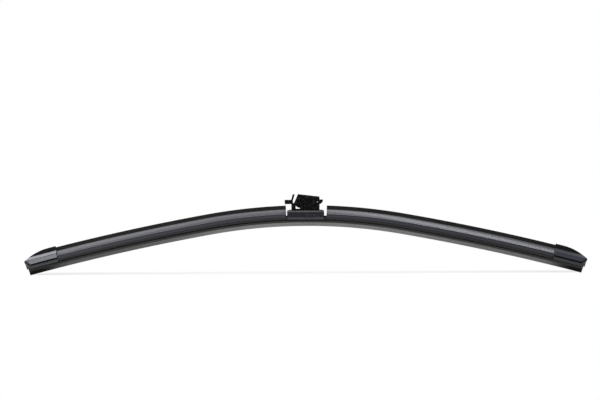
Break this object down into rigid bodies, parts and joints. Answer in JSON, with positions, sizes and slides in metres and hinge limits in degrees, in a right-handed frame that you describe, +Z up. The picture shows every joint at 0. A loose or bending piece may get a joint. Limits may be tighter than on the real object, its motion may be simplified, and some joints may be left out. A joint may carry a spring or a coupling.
{
  "type": "wiper blade",
  "caption": "Curved flat-beam car wiper blade: rubber wiping lip, hidden spring rails, finned spoiler, end caps, and a pivoting adapter for a hook-ended arm.",
  "frame": {"origin": "middle of the arm's seat, the floor of the adapter's channel, straight over the pivot", "axes": "+X along the blade towards the end that the hook's mouth faces away from, +Y to the fin's side, +Z up out of the channel, away from the glass"},
  "size_m": [0.6026, 0.0192, 0.0853],
  "materials": {
    "squeegee_rubber": "matte, graphite-coated lip",
    "spring_steel": "dark phosphated spring steel",
    "spoiler_rubber": "satin extruded",
    "coated_steel": "black dip coat",
    "pin_steel": "ground",
    "cover_plastic": "fine moulded grain",
    "adapter_plastic": "satin moulded",
    "cap_plastic": "satin moulded",
    "clip_plastic": "moulded"
  },
  "bodies": {
    "adapter": {"adapter": "adapter_plastic"},
    "blade": {"wiper_rubber": "squeegee_rubber", "spring_rail_front": "spring_steel", "spring_rail_rear": "spring_steel", "spoiler_left": "spoiler_rubber", "spoiler_right": "spoiler_rubber", "connector_bracket": "coated_steel", "pivot_pin": "pin_steel", "connector_cover": "cover_plastic", "end_cap_left": "cap_plastic", "end_cap_right": "cap_plastic", "end_clip_left": "clip_plastic", "end_clip_right": "clip_plastic"}
  },
  "joints": [
    {"name": "adapter_pivot", "type": "hinge", "parent": "adapter", "child": "blade", "pos_m": [0, 0, -0.0062], "axis": [0, 1, 0], "range_deg": [-12, 12]}
  ]
}
